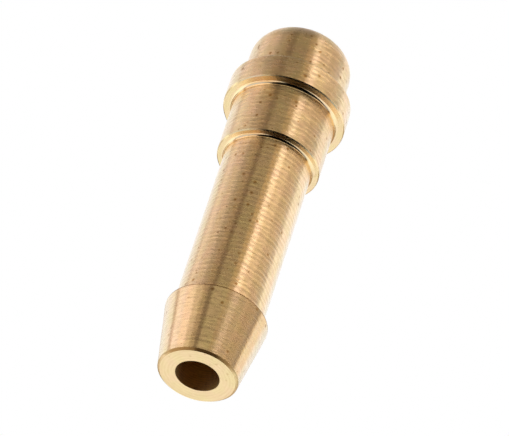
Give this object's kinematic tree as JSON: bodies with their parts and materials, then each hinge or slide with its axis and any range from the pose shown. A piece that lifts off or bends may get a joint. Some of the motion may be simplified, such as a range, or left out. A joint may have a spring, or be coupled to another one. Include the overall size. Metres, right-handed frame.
{
  "type": "hose tail",
  "caption": "Turned brass hose tail: a drilled tube with a rounded sealing nose, a collar and guide for a union nut, a plain shank and a conical barb.",
  "frame": {"origin": "centre of the flat land at the end of the nose, on the turning axis, where the part stands", "axes": "+Z along the turning axis from the nose to the hose end; X and Y are free, because the part is round"},
  "size_m": [0.0112, 0.0112, 0.0387],
  "materials": {
    "brass": "bright, as turned, with fine rings round the axis"
  },
  "bodies": {
    "root": {"hose_tail": "brass"}
  },
  "joints": []
}
